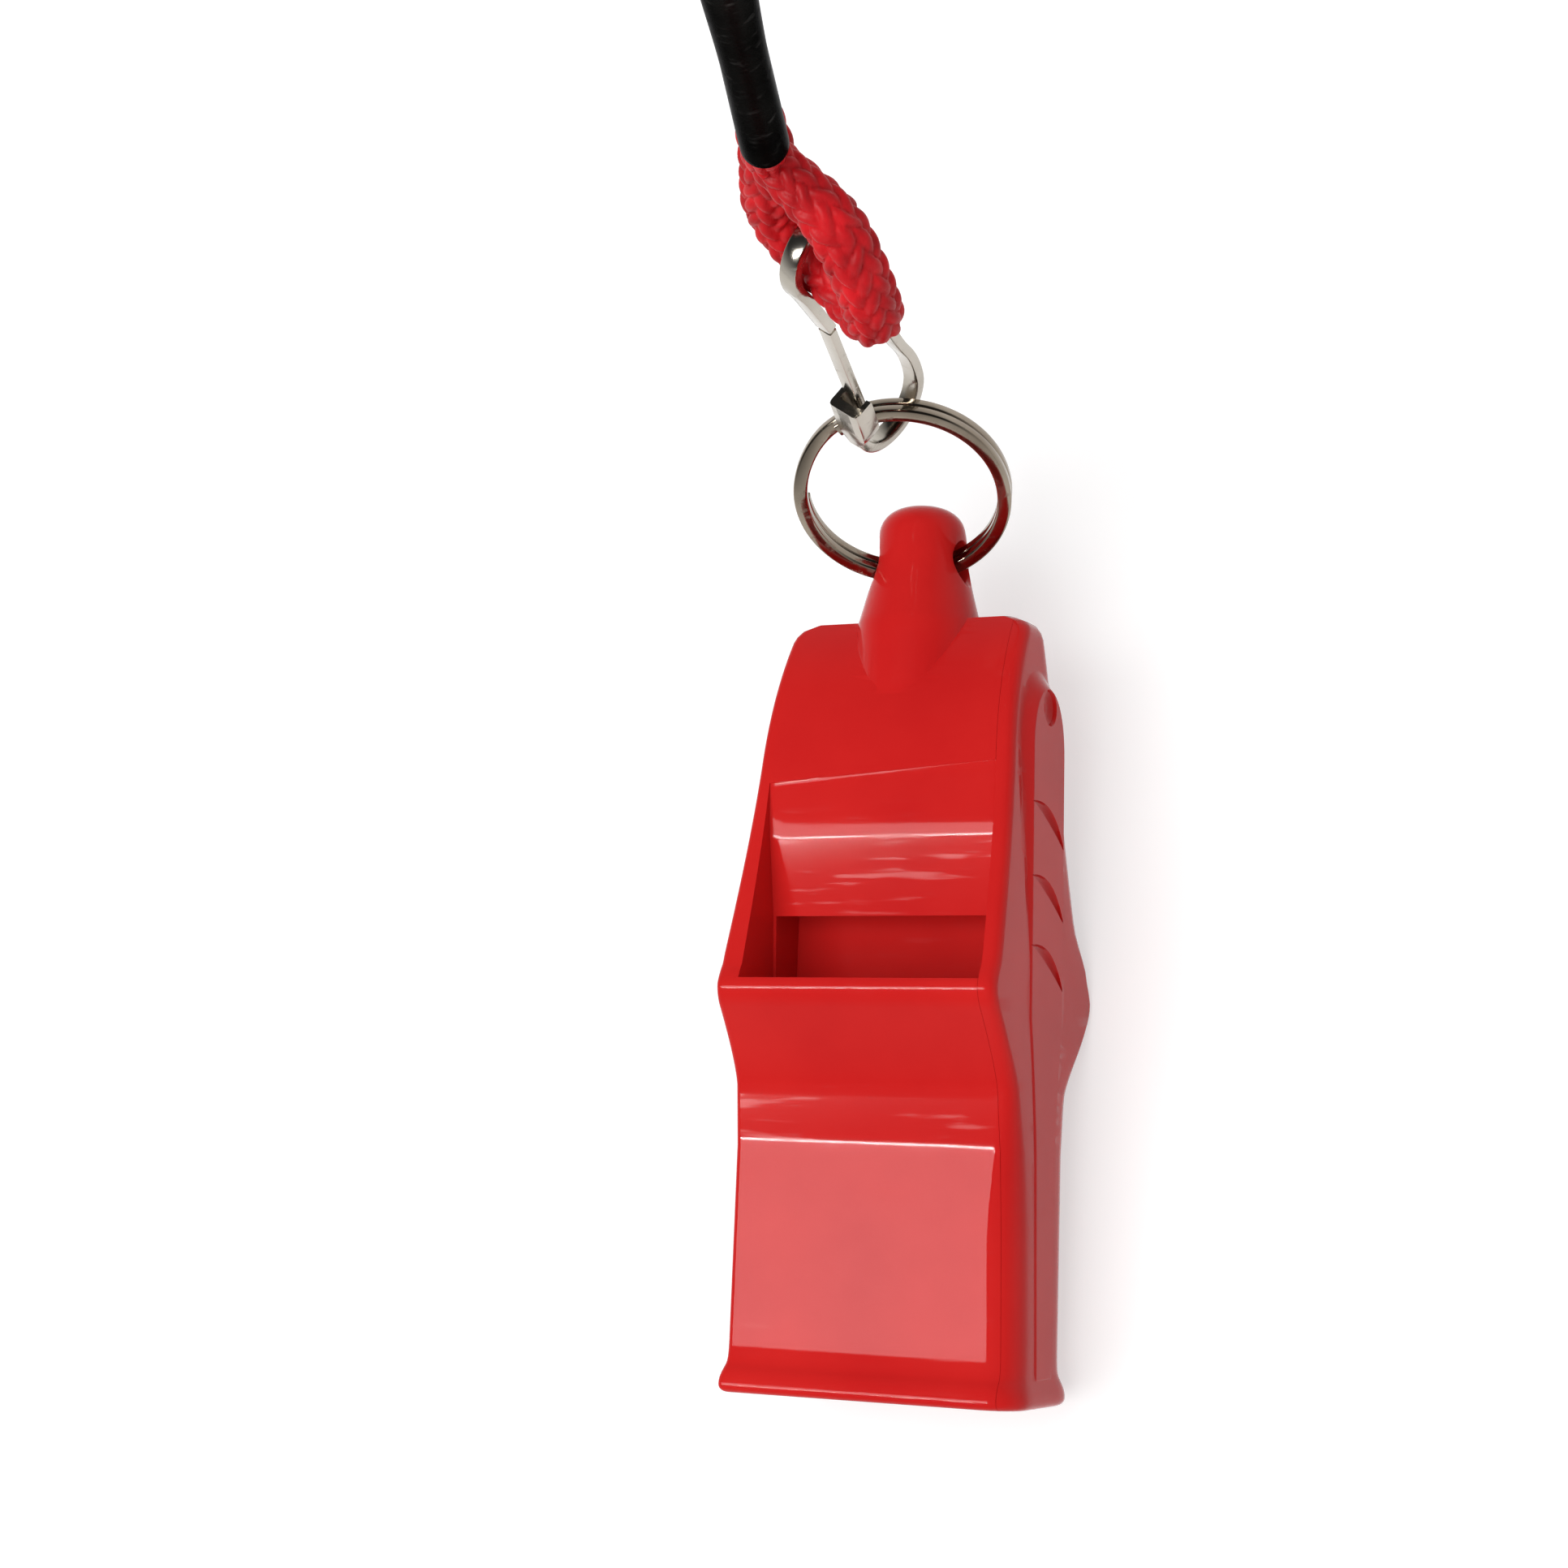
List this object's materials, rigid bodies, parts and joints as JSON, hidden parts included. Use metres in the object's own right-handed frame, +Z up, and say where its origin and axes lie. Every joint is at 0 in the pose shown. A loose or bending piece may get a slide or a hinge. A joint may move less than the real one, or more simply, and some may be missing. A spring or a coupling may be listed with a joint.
{
  "type": "emergency whistle",
  "caption": "Chambered whistle without a ball, with a fused side cover, hanging by a split ring and a spring-gate snap hook from a braided lanyard gripped in a crimped sleeve",
  "frame": {"origin": "where the lanyard is held, on the inside of its top bend", "axes": "X is the whistle's width, Y runs along the table towards the whistle's ring end, Z is up from the table; the whistle rests on its back lips, with its ring end raised by 5.3 degrees"},
  "size_m": [0.0532, 0.0711, 0.14],
  "materials": {
    "red_plastic": "glossy injection-moulded ABS with fine scuffs",
    "nickel_strip": "nickel-plated spring strip, satin flats and dark cut edges",
    "ring_steel": "polished flattened steel wire",
    "red_braid": "tightly braided polyester cord",
    "dark_sleeve": "dark grey crimped metal, satin"
  },
  "bodies": {
    "lanyard": {"cord_loop": "red_braid", "cord_sleeve": "dark_sleeve", "lanyard_cord": "red_braid"},
    "clip": {"clip_frame": "nickel_strip"},
    "gate": {"clip_gate": "nickel_strip"},
    "ring": {"split_ring": "ring_steel"},
    "whistle": {"whistle_body": "red_plastic", "side_cover": "red_plastic"}
  },
  "joints": [
    {"name": "clip_swing", "type": "hinge", "parent": "lanyard", "child": "clip", "pos_m": [-0.03556, 0.00922, -0.09737], "axis": [0.8428, -0.5345, -0.0632], "range_deg": [-45, 80]},
    {"name": "gate_open", "type": "hinge", "parent": "clip", "child": "gate", "pos_m": [-0.03712, 0.00724, -0.10153], "axis": [0.8428, -0.5345, -0.0632], "range_deg": [0, 16], "stiffness_Nm_per_rad": 0.02, "springref_deg": -5.73},
    {"name": "ring_swing", "type": "hinge", "parent": "clip", "child": "ring", "pos_m": [-0.03847, 0.00661, -0.11415], "axis": [-0.9689, -0.0808, 0.234], "range_deg": [-80, 45]},
    {"name": "whistle_swing", "type": "hinge", "parent": "ring", "child": "whistle", "pos_m": [-0.04032, 0.00002, -0.1253], "axis": [1, 0, 0], "range_deg": [-30, 110]}
  ]
}
